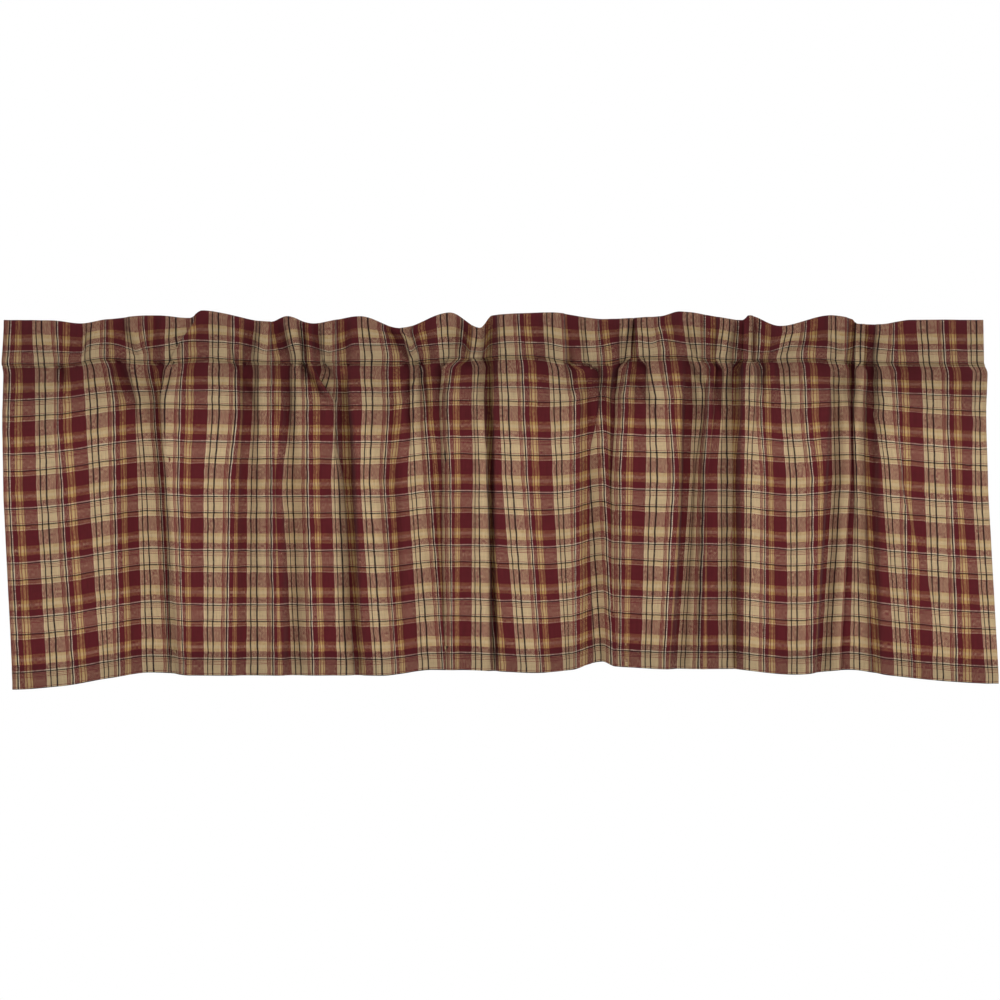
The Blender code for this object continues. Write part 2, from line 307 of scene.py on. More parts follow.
def smoothstep(t):
    """0 below 0, 1 above 1 and the cubic 3t^2 - 2t^3 between them."""
    t = np.clip(t, 0.0, 1.0)
    return t * t * (3 - 2 * t)


def bell(distance, width):
    """1 at no distance, falling smoothly to both sides: exp of minus the square of their ratio."""
    return np.exp(-(distance / width) ** 2)


def height_of(line, x):
    """z in metres at x of a smooth line through points given in mm: a cubic between each two.

    The line is level at its ends and at each high and low point, and elsewhere its slope is the
    harmonic mean of the slopes to both sides, so that it never overshoots a point.
    """
    line_x, line_z = np.transpose(line) / 1000
    gap = np.diff(line_x)
    slope = np.diff(line_z) / gap
    product = slope[:-1] * slope[1:]
    mean = 2 * product / np.where(product > 0, slope[:-1] + slope[1:], 1)
    tangent = np.concatenate(([0], np.where(product > 0, mean, 0), [0]))
    i = np.clip(np.searchsorted(line_x, x) - 1, 0, len(gap) - 1)
    t = np.clip((x - line_x[i]) / gap[i], 0, 1)
    curve = (1 - t) * t * gap[i] * ((1 - t) * tangent[i] - t * tangent[i + 1])
    return line_z[i] + (line_z[i + 1] - line_z[i]) * smoothstep(t) + curve


NEAR_MIDDLE = 0.05
middle_drop = height_of(TOP_EDGE, NEAR_MIDDLE) - height_of(BOTTOM_EDGE, NEAR_MIDDLE)
print(f"near its middle it hangs {1000 * middle_drop:.0f} mm, from {1000 * DROP:.0f} mm of cloth")

# %% [markdown]
# ## Bending cloth without stretching it
#
# Cloth bends easily but hardly stretches, so a fold can't just be a wave pushed into a plane: the
# plaid would stretch on its flanks. Here the cloth is followed from left to right by its heading,
# the angle that it makes with the X axis in plan. The heading is zero on a crest and in a trough
# and swings out between them. Adding up cosines and sines of the heading gives x and y, and every
# millimetre of cloth stays a millimetre. The tighter the cloth is gathered, the further the
# heading swings, past a right angle where folds lap.
#
# The later steps, which ease the folds to the tables and add panels and hollows, stretch or shrink
# the cloth in places, but its area as a whole stays within 1% of the cut's.

# %% The heading along one flank
FINE_STEPS = 1524  # the heading is added up in steps of 1 mm
CREASE = 0.34  # share of a flank, at each end, over which the fold turns
DRIFT_SPAN = 3.2  # repeats over which the folds' mean depth is held level


def flank_bend(t):
    """Share of a flank's steepest heading at t: smoothstep of how far the nearer end is, in creases."""
    return smoothstep(np.minimum(t, 1 - t) / CREASE)


def steepest_heading(ratio):
    """The heading at which a flank runs ratio times its own length along X, found by a look-up.

    The look-up's headings go up to 3.1, just short of a half turn.
    """
    t = np.linspace(0, 1, 201)
    headings = np.linspace(0, 3.1, 63)
    runs = np.cos(headings[:, None] * flank_bend(t)).mean(axis=1)
    return np.interp(ratio, runs[::-1], headings[::-1])


print("a flank drawn in to half its length swings to", f"{np.degrees(steepest_heading(0.5)):.0f} degrees")


# %% The folds laid out along X
def turns(folds, left, share):
    """Stations and x of the crests and troughs, a row for each share of the way down a table."""
    share = np.asarray(share)[:, None]
    upper = [(LEFT, left[0])] + [pair for f in folds for pair in ((f[0], f[1]), (f[3], f[4]))]
    lower = [(LEFT, left[1])]
    for f in folds:
        crest, trough = f[6:8] or (f[0], f[3])
        lower += [(crest, f[2]), (trough, f[5])]
    (station, x), (station_low, x_low) = np.transpose(upper), np.transpose(lower)
    return station + (station_low - station) * share, (x + (x_low - x) * share) / 1000


def laid_out(stations, turn_stations, turn_x):
    """x and y at these stations: running sums of the cosine and sine of the heading.

    x is then eased so that each crest and trough falls where the table says, and a moving
    average of y is taken off, so that the folds stay on the line that the cloth hangs from.
    """
    fine = np.linspace(LEFT, RIGHT, FINE_STEPS + 1)
    middle = (fine[:-1] + fine[1:]) / 2
    spans = np.diff(turn_stations, axis=1)
    flank = (middle[None, :, None] >= turn_stations[:, None, :]).sum(axis=2) - 1
    flank = flank.clip(0, spans.shape[1] - 1)
    peaks = steepest_heading(np.diff(turn_x, axis=1) / (spans * REPEAT))
    start, span, peak = (np.take_along_axis(a, flank, axis=1) for a in (turn_stations, spans, peaks))
    towards = np.where(flank % 2 == 0, -1.0, 1.0)  # out of a trough is towards the room, -Y
    heading = towards * peak * flank_bend((middle - start) / span)
    zero = np.zeros((len(turn_x), 1))
    step = FLAT_WIDTH / FINE_STEPS
    x = np.hstack((zero, np.cumsum(np.cos(heading), axis=1))) * step
    y = np.hstack((zero, np.cumsum(np.sin(heading), axis=1))) * step
    window = np.hanning(int(DRIFT_SPAN / (fine[1] - fine[0])) | 1)
    window /= window.sum()
    half = len(window) // 2
    for row, (knots, knot_x) in enumerate(zip(turn_stations, turn_x)):
        x[row] += np.interp(fine, knots, knot_x - np.interp(knots, fine, x[row]))
        y[row] -= np.convolve(np.pad(y[row], half, mode="edge"), window, mode="valid")
    at = (stations - LEFT) / (RIGHT - LEFT) * FINE_STEPS
    low = np.floor(at).astype(int).clip(0, FINE_STEPS - 1)
    part = at - low
    return (x[:, low] * (1 - part) + x[:, low + 1] * part,
            y[:, low] * (1 - part) + y[:, low + 1] * part)


print("crests and troughs in the body:", turns(BODY_FOLDS, BODY_LEFT, (0, 1))[0].shape[1] - 1)

# %% [markdown]
# ## The hanging face
#
# The three sets of folds are mixed down the cloth: the pocket's turn into the neck's in 14 mm at
# the seam, as the folds of real gathers change there, and the neck's ease into the body's. Seam
# and pocket hold the folds shallow, and below they open to their full depth.

# %% Panels and hollows as depths
PANEL_ROW, PANEL_LOW_ROW = 0.160, 0.395
ABOVE_PANELS = 0.3  # share of their table's height by which their slant is carried on above it
BELOW_TABLE = 0.05  # and by which any table's slant is carried on below it
PANEL_AT_SEAM = 0.15  # share of a panel's depth that shows in the pocket
PANEL_FADE = 0.055  # the panels reach their depth this far below the seam
HEM_HOLDS = 0.45  # share of a panel's depth that the stiff hem takes away
HEM_HOLDS_FROM, HEM_HOLDS_SPAN = 0.350, 0.055


def panel_depth(x, v):
    """How far back the panels put the cloth, in metres: their table, faded in below the seam.

    Between two places of the table the depth is eased with smoothstep.
    """
    upper, lower, depth = np.transpose(PANELS) / 1000
    rows = []
    for row_x, row_v in zip(x, v[:, 0]):
        share = (row_v - PANEL_ROW) / (PANEL_LOW_ROW - PANEL_ROW)
        share = np.clip(share, -ABOVE_PANELS, 1 + BELOW_TABLE)
        knots = upper + (lower - upper) * share
        between = np.clip(np.searchsorted(knots, row_x) - 1, 0, len(knots) - 2)
        t = (row_x - knots[between]) / (knots[between + 1] - knots[between])
        rows.append(depth[between] + (depth[between + 1] - depth[between]) * smoothstep(t))
    fade = PANEL_AT_SEAM + (1 - PANEL_AT_SEAM) * smoothstep((v - POCKET) / PANEL_FADE)
    held_by_hem = 1 - HEM_HOLDS * smoothstep((v - HEM_HOLDS_FROM) / HEM_HOLDS_SPAN)
    return np.array(rows) * fade * held_by_hem


def dents(x, z):
    """Sum of soft bells in the cloth, in metres: hollows are pushed back and swells forward."""
    total = np.zeros_like(z)
    for *sizes, lean in DENTS:
        middle_x, middle_z, depth, half_width, half_height = np.array(sizes) / 1000
        across = x - middle_x - lean * (z - middle_z)
        total += depth * bell(across, half_width) * bell(z - middle_z, half_height)
    return total


print(f"panels reach their depth {1000 * (POCKET + PANEL_FADE):.1f} mm down the cloth")

# %% The three sets of folds, mixed
POCKET_TOP_ROW, POCKET_SEAM_ROW = 0.008, 0.044
NECK_ROW, NECK_LOW_ROW = 0.062, 0.105
BODY_ROW, BODY_LOW_ROW = 0.200, 0.395
NECK_FROM, NECK_SPAN = 0.051, 0.014  # the pocket's folds turn into the neck's from here, in this much
BODY_FROM, BODY_SPAN = 0.112, 0.095  # and the neck's into the body's
POCKET_RELIEF, NECK_RELIEF, BODY_RELIEF = 0.0062, 0.0125, 0.0150  # soft limits of their depths


def soft_limit(y, limit):
    """limit times tanh(y / limit): y, pressed smoothly so that it never passes the limit."""
    return limit * np.tanh(y / limit)


def mixed_folds(stations, v):
    """x and y of the folds alone: the pocket's, the neck's and the body's, mixed down the cloth."""
    kinds = (
        (POCKET_FOLDS, POCKET_LEFT, POCKET_TOP_ROW, POCKET_SEAM_ROW, POCKET_RELIEF),
        (NECK_FOLDS, NECK_LEFT, NECK_ROW, NECK_LOW_ROW, NECK_RELIEF),
        (BODY_FOLDS, BODY_LEFT, BODY_ROW, BODY_LOW_ROW, BODY_RELIEF),
    )
    places = []
    for folds, left, upper, lower, relief in kinds:
        share = np.clip((v - upper) / (lower - upper), 0, 1 + BELOW_TABLE)
        x, y = laid_out(stations, *turns(folds, left, share))
        places.append((x, soft_limit(y, relief)))
    into_neck = smoothstep((v - NECK_FROM) / NECK_SPAN)[:, None]
    into_body = smoothstep((v - BODY_FROM) / BODY_SPAN)[:, None]
    (x, y), neck, body = places
    x = x + (neck[0] - x) * into_neck
    y = y + (neck[1] - y) * into_neck
    x = x + (body[0] - x) * into_body
    y = y + (body[1] - y) * into_body
    return x, y


print(f"a fold 20 mm deep is held to {1000 * soft_limit(0.020, BODY_RELIEF):.1f} mm in the body")

# %% The whole face
DRAWN_UP_DROP = 0.068  # the seam takes up cloth over this much below it
DRAWN_UP_SHARE = 0.72  # of what is taken up, the rest goes evenly down to the bottom edge
POCKET_TURN = 0.055  # share of its height by which the middle of the pocket's wall lies lower
WAVER_POWER = 1.5  # a higher power keeps the black line's waver closer to that line
SMALL_FOLDS_SHARE = 0.65  # of the folds' own depth, left where the panels take over
SMALL_FOLDS_FROM, SMALL_FOLDS_SPAN = 0.085, 0.080
DEEPEST = 0.0205  # the soft limit of all depths together, to the front and to the back


def round_the_rod(v):
    """Share of the pocket's height reached at v: v / POCKET, at most 1, plus a little of a sine."""
    share = np.minimum(v / POCKET, 1)
    return share + POCKET_TURN * np.sin(np.pi * share)


def hanging_face(stations, v):
    """x, y, z of the middle of the face that hangs to the front, a row for each v.

    z runs from the top edge to the seam in the pocket, and below it v is hung from the seam, less
    what gathering takes up, so that the last row falls on the bottom edge. In the pocket it is
    also eased by a power of a sine, so that the black line falls on its own table.
    """
    v = np.asarray(v, float)
    x, y = mixed_folds(stations, v)
    v = v[:, None]
    top, stitching, bottom = (height_of(line, x) for line in (TOP_EDGE, STITCHING, BOTTOM_EDGE))
    below = np.maximum(v - POCKET, 0)
    z = top + (stitching - top) * round_the_rod(v) - below
    waver = height_of(BLACK_LINE, x) - top - (stitching - top) * round_the_rod(FIRST_BLACK_LINE)
    arch = np.sin(np.pi * np.minimum(v / POCKET, 1)) / np.sin(np.pi * FIRST_BLACK_LINE / POCKET)
    z = z + waver * arch ** WAVER_POWER
    taken_up = bottom - stitching + DROP - POCKET
    near_seam = DRAWN_UP_SHARE * smoothstep(below / DRAWN_UP_DROP)
    z = z + taken_up * (near_seam + (1 - DRAWN_UP_SHARE) * below / (DROP - POCKET))
    in_body = smoothstep((v - SMALL_FOLDS_FROM) / SMALL_FOLDS_SPAN)
    small_share = 1 - (1 - SMALL_FOLDS_SHARE) * in_body
    y = soft_limit(small_share * y + panel_depth(x, v) + dents(x, z), DEEPEST)
    return np.stack((x, y, z), axis=2)


COLUMNS = 582  # about 2.6 mm of cloth apart
stations = np.linspace(LEFT, RIGHT, COLUMNS)
depths = 1000 * hanging_face(stations, [BODY_ROW])[0, :, 1]
print(f"folds at half height reach y {depths.min():.1f} to {depths.max():.1f} mm")

# %% [markdown]
# ## Puckers, pinches and creases
#
# A gathered seam isn't smooth: between stitches the cloth bunches into short ridges that fan out
# above and below it, and here and there a fold is caught in the stitching as a sharp pinch. They
# are a few tenths of a millimetre to 3 mm deep, so they are pushed into the finished drape along
# its normal, where they add a relief and don't disturb the lengths much.

# %% Soft noise on the cloth
rng = np.random.default_rng(7)
LATTICE = (64, 512)  # rows and columns


def soft_noise(across, down, size_across, size_down):
    """Smooth noise of -1 to 1: random values on a lattice, eased between with smoothstep.

    The sizes are the lattice's spacing in metres. Each call draws a new lattice.
    """
    lattice = rng.uniform(-1, 1, LATTICE)
    a, d = np.broadcast_arrays(across / size_across + 7.3, down / size_down + 5.1)
    column, row = np.floor(a).astype(int), np.floor(d).astype(int)
    ease_across, ease_down = smoothstep(a - column), smoothstep(d - row)

    def along_row(index):
        """The noise on one row of the lattice."""
        left, right = (lattice[index % LATTICE[0], c % LATTICE[1]] for c in (column, column + 1))
        return left * (1 - ease_across) + right * ease_across

    return along_row(row) * (1 - ease_down) + along_row(row + 1) * ease_down


print("lattice:", *LATTICE)

# %% Pinches caught in the seam
LEAN_AT = 0.020
PINCH_WIDENS = 0.030  # this far below the seam a pinch is twice as wide
PINCH_POWER, GATHERS_POWER = 1.5, 1.4  # above 1 they fade slowly close to the seam, then faster
SEAM_PINCHES = (
    # station, lean in repeats at LEAN_AT below, depth, width, and reach below and above in mm
    (1.36, -0.02, 2.6, 3.2, 26, 14), (2.02, 0.04, 1.0, 3.0, 22, 10), (2.68, 0.10, 1.8, 3.0, 40, 8),
    (3.72, 0.05, 1.6, 3.0, 30, 14), (5.72, 0.03, 1.6, 3.2, 24, 12), (6.60, 0.00, 1.2, 3.0, 20, 10),
    (7.30, 0.02, 1.6, 2.6, 26, 8), (8.02, 0.16, 1.8, 3.0, 40, 6), (9.74, -0.05, 1.6, 2.6, 28, 10),
    (10.38, 0.04, 1.4, 2.6, 30, 8), (11.05, 0.00, 2.0, 3.0, 30, 12), (12.40, 0.00, 1.8, 3.0, 26, 10),
    (14.42, 0.06, 1.2, 3.0, 24, 8), (15.05, 0.02, 2.2, 3.2, 34, 10), (16.30, -0.02, 1.8, 2.8, 24, 12),
    (16.74, 0.04, 1.8, 2.6, 30, 12), (18.20, 0.05, 1.4, 2.6, 30, 8), (18.66, 0.02, 1.6, 2.6, 30, 10),
    (19.46, 0.00, 1.8, 3.0, 26, 12), (20.34, -0.03, 1.2, 2.6, 24, 10), (22.62, 0.02, 2.6, 3.2, 40, 12),
    (23.62, 0.10, 1.6, 2.8, 36, 10),
)


def pinches(s, v):
    """Sum of narrow furrows: a bell across the cloth, fading above and below the seam."""
    below = v - POCKET
    total = np.zeros(np.broadcast_shapes(s.shape, v.shape))
    for station, lean, depth, width, reach, reach_up in SEAM_PINCHES:
        off = (s - station - lean * np.clip(below, 0, None) / LEAN_AT) * REPEAT
        spread = width / 1000 * (1 + np.clip(below, 0, None) / PINCH_WIDENS)
        away = np.where(below > 0, below / (reach / 1000), -below / (reach_up / 1000))
        fade = np.exp(-away ** PINCH_POWER)
        total -= depth / 1000 * bell(off, spread) * fade
    return total


print("pinches:", len(SEAM_PINCHES))

# %% Gathers, furrows and a crease
HEM_STITCH = DROP - HEM
FOLD_LINE = 0.124  # a crease across, as from being folded in a packet
SHARP_STATION = 23.2  # the crease gets sharper over one repeat to the right of here
FAINT = 0.35  # share of a relief that is left where it is faint
BODY_AFTER = 0.030  # below the seam the unevenness of free cloth has set in by here
GATHERS_DEPTH, GATHERS_BELOW, GATHERS_ABOVE = 0.00085, 0.014, 0.010  # and how far they reach
WIDE_SHARE = 0.7  # of wide gathers to narrow ones
FURROW_DEPTH, FURROW_WIDTH = 0.0008, 0.0015  # along the pocket's stitching
HEM_FURROW_DEPTH, HEM_FURROW_WIDTH = 0.00045, 0.0018
HEM_PUCKERS_DEPTH, HEM_PUCKERS_REACH = 0.00030, 0.010
BROAD_DEPTH, FINE_DEPTH = 0.0011, 0.00035  # of the general unevenness
FOLD_LINE_DEPTH, FOLD_LINE_WIDTH = 0.0018, 0.0035
# sizes of the noises, across and down the cloth
NARROW_GATHERS, WIDE_GATHERS, HEM_PUCKERS = (0.0065, 0.040), (0.0120, 0.050), (0.0080, 0.030)
BROAD_NOISE, FINE_NOISE = (0.024, 0.090), (0.010, 0.016)


def small_relief(s, v):
    """Height in metres above the drape, to the front: the sum of all the small shapes."""
    u = (s - LEFT) * REPEAT
    below = v - POCKET
    near_hem = v - HEM_STITCH
    body = smoothstep(below / BODY_AFTER)
    faint_above = FAINT + (1 - FAINT) * body
    faint_left = FAINT + (1 - FAINT) * smoothstep(s - SHARP_STATION)
    away = np.where(below > 0, below / GATHERS_BELOW, -below / GATHERS_ABOVE)
    gathers = soft_noise(u, v, *NARROW_GATHERS) + WIDE_SHARE * soft_noise(u, v, *WIDE_GATHERS)
    relief = GATHERS_DEPTH * gathers * np.exp(-away ** GATHERS_POWER)
    relief -= FURROW_DEPTH * bell(below, FURROW_WIDTH)
    relief += pinches(s, v)
    relief -= HEM_FURROW_DEPTH * bell(near_hem, HEM_FURROW_WIDTH)
    relief += HEM_PUCKERS_DEPTH * soft_noise(u, v, *HEM_PUCKERS) * bell(near_hem, HEM_PUCKERS_REACH)
    relief += BROAD_DEPTH * soft_noise(u, v, *BROAD_NOISE) * body
    relief += FINE_DEPTH * soft_noise(u, v, *FINE_NOISE) * faint_above
    fold_line = FOLD_LINE_DEPTH * np.exp(-np.abs(v - FOLD_LINE) / FOLD_LINE_WIDTH)
    relief += faint_left * fold_line * body
    return relief


print(f"crease {1000 * FOLD_LINE_DEPTH:.1f} mm high, the seam's furrow {1000 * FURROW_DEPTH:.1f} mm deep")

# %% [markdown]
# ## One strip of cloth, hem to pocket
#
# The sheet is followed as the machinist folded it: from the turned-up edge of the hem on the back,
# down round the bottom edge, up the whole front, over the top, and down the back of the pocket to
# just past the stitching. Every row knows its own place on the flat cloth, which is negative behind the
# pocket, so the plaid runs unbroken round each turn.

# %% Rows of the strip
POCKET_FRONT, POCKET_BACK = 0.0050, 0.0105  # how far the pocket's two walls stand off its middle
POCKET_FULLNESS = 0.36  # 1 makes the pocket an ellipse in section, and less a flatter front
BACK_CALMER = 0.4  # share of the front's hollows that the back wall doesn't follow
BACK_RELIEF = 0.5  # share of the small shapes' height that it has

hem_back = np.linspace(HEM_STITCH - 0.001, DROP - PLY_GAP, 5)
hem_turn = np.radians((135, 90, 45))[:, None, None]
TURN_STEP = 0.0003  # of cloth between the hem turn's rows
# the rows lie closest at the two lines of stitching
front = np.concatenate((
    np.linspace(DROP - PLY_GAP / 2, HEM_STITCH + 0.003, 4),
    HEM_STITCH + np.array((0.0012, 0.0, -0.0012, -0.004)),
    np.linspace(0.364, 0.139, 20),
    np.linspace(0.130, 0.0655, 17),
    np.linspace(0.0625, 0.0568, 5),
))
pocket_front = np.radians((180, 176, 170, 162, 152, 140, 127, 114, 100, 86, 72, 58, 44, 31, 19, 9, 0))
pocket_back = np.radians((-12, -28, -50, -78, -105, -130, -150, -168))
print("rows:", len(front), "on the front,", len(pocket_front) + len(pocket_back), "round the pocket")


def unit_normals(rows):
    """Unit vectors out of the cloth's outer side: across the cloth times along the strip."""
    normal = np.cross(np.gradient(rows, axis=1), np.gradient(rows, axis=0))
    return normal / np.linalg.norm(normal, axis=2, keepdims=True)


def pocket_rows(angle, gap):
    """The pocket's wall and its depths on the cloth: a squared-off ellipse, moved back by the gap."""
    v = POCKET * (1 - np.cos(angle)) / 2
    rows = hanging_face(stations, v)
    forward = np.sign(angle) * np.abs(np.sin(angle)) ** POCKET_FULLNESS
    rows[:, :, 1] *= 1 - BACK_CALMER * np.maximum(-forward, 0)[:, None]
    rows[:, :, 1] += gap - (np.where(angle > 0, POCKET_FRONT, POCKET_BACK) * forward)[:, None]
    return rows, v


face = hanging_face(stations, front)
wall, wall_v = pocket_rows(pocket_front, 0.0)
back, back_v = pocket_rows(pocket_back, PLY_GAP)
edge_v = np.array((POCKET, POCKET + POCKET_EDGE))
edge = hanging_face(stations, edge_v) + np.array((0, PLY_GAP, 0))

hanging = np.concatenate((face, wall))
hanging_v = np.concatenate((front, wall_v))
hanging += unit_normals(hanging) * small_relief(stations[None, :], hanging_v[:, None])[:, :, None]
back_relief = BACK_RELIEF * small_relief(stations[None, :], back_v[:, None])
back += unit_normals(back) * back_relief[:, :, None]

# %% The hem's back and its turn
outward = unit_normals(hanging)
# the hem's back follows the front at its own heights, one ply gap behind it
hem = np.stack([
    np.stack([np.interp(-hem_back, -front, face_column) for face_column in column.T], axis=1)
    for column in hanging[:len(front)].transpose(1, 0, 2)
], axis=1)
hem_normal = outward[:len(front)][np.searchsorted(-front, -hem_back).clip(0, len(front) - 1)]
hem -= hem_normal * PLY_GAP
# the turn is half a circle between the two
centre = hanging[:1] - outward[:1] * PLY_GAP / 2
down = hanging[:1] - hanging[1:2]
down /= np.linalg.norm(down, axis=2, keepdims=True)
turn = centre + PLY_GAP / 2 * (np.cos(hem_turn) * outward[:1] + np.sin(hem_turn) * down)
strip = np.concatenate((hem, turn, hanging, back, edge))
flat_v = np.concatenate((
    2 * DROP - hem_back, DROP + TURN_STEP * np.array((1, 0, -1)), hanging_v, -back_v, -edge_v,
))
print("strip of", len(strip), "rows and", COLUMNS, "columns")

# %% [markdown]
# ## Two faces and four edges
#
# Real cloth has two faces. The strip is opened by half its thickness to each side of its middle,
# and the two faces are joined round the edge into one closed mesh. Close to the side edges the
# inner face is pushed further in, because the side hems are turned twice.

# %% The closed mesh
SIDE_HEM_EXTRA = 0.0011  # what a side hem adds to the thickness
SIDE_HEM_STEP = 0.002  # width over which it begins
TOP_FADE = 0.004  # below the seam the side hems fade in over this
BOTTOM_FADE_FROM, BOTTOM_FADE = 0.004, 0.003  # and out from this far above the bottom edge, in this much
near_side = np.minimum(stations - LEFT, RIGHT - stations) * REPEAT
side_hem = 1 - smoothstep((near_side - SIDE_HEM) / SIDE_HEM_STEP + 0.5)
side_hem[[0, -1]] = 0.5  # the edge itself gets half of the extra, which rounds it
on_body = smoothstep((flat_v - POCKET) / TOP_FADE)
on_body *= 1 - smoothstep((flat_v - DROP + BOTTOM_FADE_FROM) / BOTTOM_FADE)
extra = SIDE_HEM_EXTRA * side_hem[None, :] * on_body[:, None]
normal = unit_normals(strip)
outside = strip + normal * THICK / 2
inside = strip - normal * (THICK / 2 + extra)[:, :, None]
points = np.concatenate((outside, inside[::-1]))
rows_in_ring = len(points)
number = np.arange(rows_in_ring * COLUMNS).reshape(rows_in_ring, COLUMNS)
after = np.roll(number, -1, axis=0)
quads = np.stack((number[:, :-1], number[:, 1:], after[:, 1:], after[:, :-1]), axis=2).reshape(-1, 4)
half = rows_in_ring // 2
opposite = number[::-1]
left_edge = np.stack((number[:half - 1, 0], number[1:half, 0], opposite[1:half, 0],
                      opposite[:half - 1, 0]), axis=1)
right_edge = np.stack((opposite[:half - 1, -1], opposite[1:half, -1], number[1:half, -1],
                       number[:half - 1, -1]), axis=1)
faces = np.concatenate((quads, left_edge, right_edge))
mesh = bpy.data.meshes.new("valance_sheet")
mesh.from_pydata(points.reshape(-1, 3).tolist(), [], faces.tolist())
print(len(mesh.vertices), "points,", len(faces), "faces")

# %% [markdown]
# ## Two maps of the cloth
#
# The material needs to know where on the flat cloth each point is, so the first map holds metres:
# distance from the left edge, and depth below the top edge. It is the cloth laid flat, and the two
# faces share it, as a woven plaid shows on both sides. A second map lays the two faces one above
# the other between 0 and 1, so that a baked picture of the cloth has a place for each.

# %% The maps
corner_row, corner_column = np.divmod(faces.reshape(-1), COLUMNS)
strip_row = np.where(corner_row < half, corner_row, rows_in_ring - 1 - corner_row)
flat_u = (stations - LEFT) * REPEAT
cloth_map = mesh.uv_layers.new(name="flat_cloth")
cloth_map.uv.foreach_set("vector", np.stack((flat_u[corner_column], flat_v[strip_row]), axis=1).ravel())

along = np.concatenate(([0], np.cumsum(np.linalg.norm(np.diff(strip, axis=0), axis=2).mean(axis=1))))
along /= along[-1]
MARGIN = 0.004
RIM_LEVELS, RIM_HEIGHT = (0.4985, 0.9985), 0.001  # of the two rims that join the faces at their ends
face_of_corner = np.repeat(np.arange(len(faces)), 4)
ring_of_face = face_of_corner // (COLUMNS - 1)
on_faces = face_of_corner < len(quads)
on_inside = (ring_of_face >= half) & on_faces
bake_u = MARGIN + (1 - 2 * MARGIN) * flat_u[corner_column] / FLAT_WIDTH
bake_v = MARGIN + (0.5 - 2 * MARGIN) * along[strip_row] + np.where(on_inside, 0.5, 0.0)
bake = np.stack((bake_u, bake_v), axis=1)
for rim_row, level in zip((half - 1, rows_in_ring - 1), RIM_LEVELS):
    in_rim = (ring_of_face == rim_row) & on_faces
    bake[in_rim, 1] = level + RIM_HEIGHT * (corner_row[in_rim] == rim_row)
bake_map = mesh.uv_layers.new(name="OFBake")
bake_map.uv.foreach_set("vector", bake.ravel())
mesh.uv_layers.active = cloth_map
cloth_map.active_render = True
mesh.shade_smooth()
mesh.validate()
valance = bpy.data.objects.new("plaid_valance", mesh)
bpy.context.scene.collection.objects.link(valance)
print("maps:", [layer.name for layer in mesh.uv_layers])

# %% [markdown]
# ## The plaid
#
# The cloth is a homespun cotton: carded, fairly thick yarns, dyed before weaving and woven plain,
# one over and one under. A plaid is two stripe charts, one for the yarns that hang and one for
# those that cross, and each spot shows both. So the material holds the two charts, as widths in
# mm and the colour of the yarn, and mixes what it reads from them. Each chart is stretched to fill
# its repeat, by 1% across and 5% down, so the widths are that much larger on the cloth.
#
# Where two colours cross, the eye sees a mixture, and the hanging yarns stand a little prouder,
# so they count for more.

# %% Yarn colours and the two charts
YARNS = {  # colour, and how proud the yarn stands: between two alike it makes no difference
    "cream": ("#C6AC85", 0.5),
    "bright": ("#D5BE98", 0.6),
    "white": ("#DDCFB6", 0.75),
    "black": ("#1C1516", 1.0),
    "burgundy": ("#5B181E", 0.60),
    "rust": ("#6E2528", 1.0),
    "mustard": ("#AE8850", 0.36),
    "gold": ("#C5A066", 0.42),
}
HANGING_CHART = (
    ("bright", 0.8), ("cream", 3.0), ("black", 1.4), ("cream", 5.1), ("black", 1.9), ("cream", 9.6),
    ("rust", 1.0), ("cream", 0.6), ("rust", 0.8), ("cream", 0.6), ("rust", 0.7), ("cream", 1.6),
    ("black", 1.5), ("white", 0.8), ("burgundy", 5.6), ("mustard", 1.6), ("rust", 0.8),
    ("mustard", 1.2), ("gold", 1.2), ("mustard", 1.0), ("rust", 0.8), ("mustard", 1.5),
    ("burgundy", 15.2),
)
CROSSING_CHART = (
    ("white", 1.0), ("black", 1.3), ("cream", 0.9), ("rust", 0.6), ("cream", 1.1), ("rust", 0.6),
    ("cream", 1.1), ("rust", 0.6), ("cream", 9.3), ("rust", 0.8), ("bright", 0.9), ("black", 1.3),
    ("mustard", 1.2), ("cream", 0.8), ("mustard", 1.0), ("cream", 0.8), ("bright", 0.9),
    ("burgundy", 16.1), ("mustard", 3.4), ("cream", 3.4), ("mustard", 3.4), ("burgundy", 6.5),
)
HANGING_START = -0.00775  # from the middle of a pair of black lines to the chart's start


def linear(hex_colour):
    """An sRGB hex colour as linear red, green, blue and alpha."""
    values = np.array([int(hex_colour[i:i + 2], 16) for i in (1, 3, 5)]) / 255
    low, high = values / 12.92, ((values + 0.055) / 1.055) ** 2.4
    return (*np.where(values <= 0.04045, low, high), 1.0)


def add(tree, kind, inputs=(), **settings):
    """Adds a node with its settings, and fills its inputs from values or other nodes' sockets."""
    node = tree.nodes.new(kind)
    for name, value in settings.items():
        setattr(node, name, value)
    for socket, value in dict(inputs).items():
        if isinstance(value, bpy.types.NodeSocket):
            tree.links.new(value, node.inputs[socket])
        else:
            node.inputs[socket].default_value = value
    return node


def chart_colours(tree, chart, place):
    """A band of constant colours, one for each stripe of the chart, read at a place of 0 to 1.

    Each stripe's alpha says how proud its yarn stands.
    """
    ramp = add(tree, "ShaderNodeValToRGB", {0: place})
    ramp.color_ramp.interpolation = "CONSTANT"
    total = sum(width for _, width in chart)
    stops = ramp.color_ramp.elements
    start = 0.0
    for index, (yarn, width) in enumerate(chart):
        stop = stops[index] if index < 2 else stops.new(start / total)
        stop.position = start / total
        colour, proud = YARNS[yarn]
        stop.color = (*linear(colour)[:3], proud)
        start += width
    return ramp.outputs["Color"], ramp.outputs["Alpha"]


print("charts:", *(f"{sum(w for _, w in chart):.1f} mm" for chart in (HANGING_CHART, CROSSING_CHART)))

